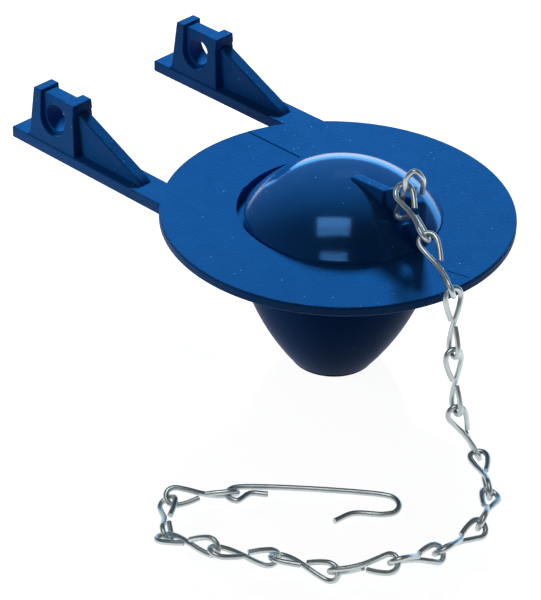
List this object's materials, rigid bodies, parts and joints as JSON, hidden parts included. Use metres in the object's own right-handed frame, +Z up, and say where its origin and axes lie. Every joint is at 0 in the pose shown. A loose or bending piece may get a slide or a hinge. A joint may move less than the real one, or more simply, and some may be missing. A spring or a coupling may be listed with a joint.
{
  "type": "toilet flapper",
  "caption": "Rubber flush valve flapper with a hollow bulb, a round seal flange, two ears on arms, and a lift chain with a lever hook.",
  "frame": {"origin": "centre of the flange's flat underside, the face that seals on the valve seat", "axes": "+X from the ears towards the chain tab, +Z up through the dome, Y across the two arms"},
  "size_m": [0.1424, 0.1144, 0.0566],
  "materials": {
    "flapper_rubber": "satin",
    "chain_steel": "satin"
  },
  "bodies": {
    "root": {"flapper_body": "flapper_rubber", "tab_link": "chain_steel", "chain_link_01": "chain_steel", "chain_link_02": "chain_steel", "chain_link_03": "chain_steel", "chain_link_04": "chain_steel", "chain_link_05": "chain_steel", "chain_link_06": "chain_steel", "chain_link_07": "chain_steel", "chain_link_08": "chain_steel", "chain_link_09": "chain_steel", "chain_link_10": "chain_steel", "chain_link_11": "chain_steel", "chain_link_12": "chain_steel", "chain_link_13": "chain_steel", "chain_link_14": "chain_steel", "chain_link_15": "chain_steel", "lever_hook": "chain_steel"}
  },
  "joints": []
}
